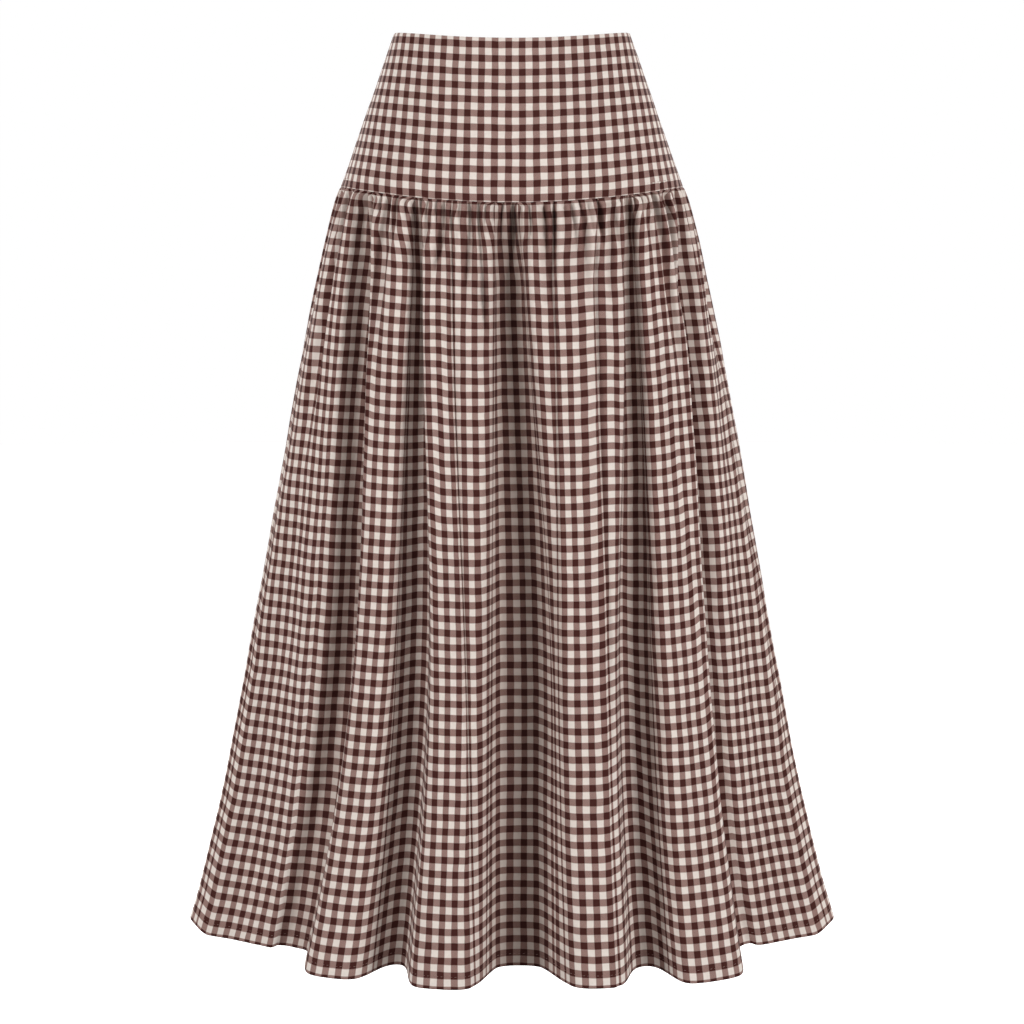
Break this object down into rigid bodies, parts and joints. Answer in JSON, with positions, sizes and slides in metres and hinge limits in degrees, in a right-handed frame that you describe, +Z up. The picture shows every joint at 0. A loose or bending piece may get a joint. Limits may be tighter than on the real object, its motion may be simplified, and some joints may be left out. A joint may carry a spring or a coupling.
{
  "type": "midi skirt",
  "caption": "Long full skirt gathered onto a deep fitted hip yoke, open at waist and hem, with a zip at the centre back and a hinged pull tab.",
  "frame": {"origin": "centre of the waist opening, level with the top edge at the sides", "axes": "+Z up out of the waist, -Y to the front, +X to the wearer's left, which is the right of the picture"},
  "size_m": [0.6539, 0.5033, 0.9079],
  "materials": {
    "gingham": "plain woven cotton in a small brown and cream check",
    "zip_tape": "brown woven tape",
    "zip_metal": "brown lacquered metal"
  },
  "bodies": {
    "garment": {"yoke_front": "gingham", "yoke_back_left": "gingham", "yoke_back_right": "gingham", "skirt_front": "gingham", "skirt_back": "gingham", "zip_tape": "zip_tape", "zip_slider": "zip_metal"},
    "zip_pull": {"zip_pull": "zip_metal"}
  },
  "joints": [
    {"name": "zip_pull_hinge", "type": "hinge", "parent": "garment", "child": "zip_pull", "pos_m": [0, 0.09508, -0.01412], "axis": [1, 0, 0], "range_deg": [0, 140]}
  ]
}
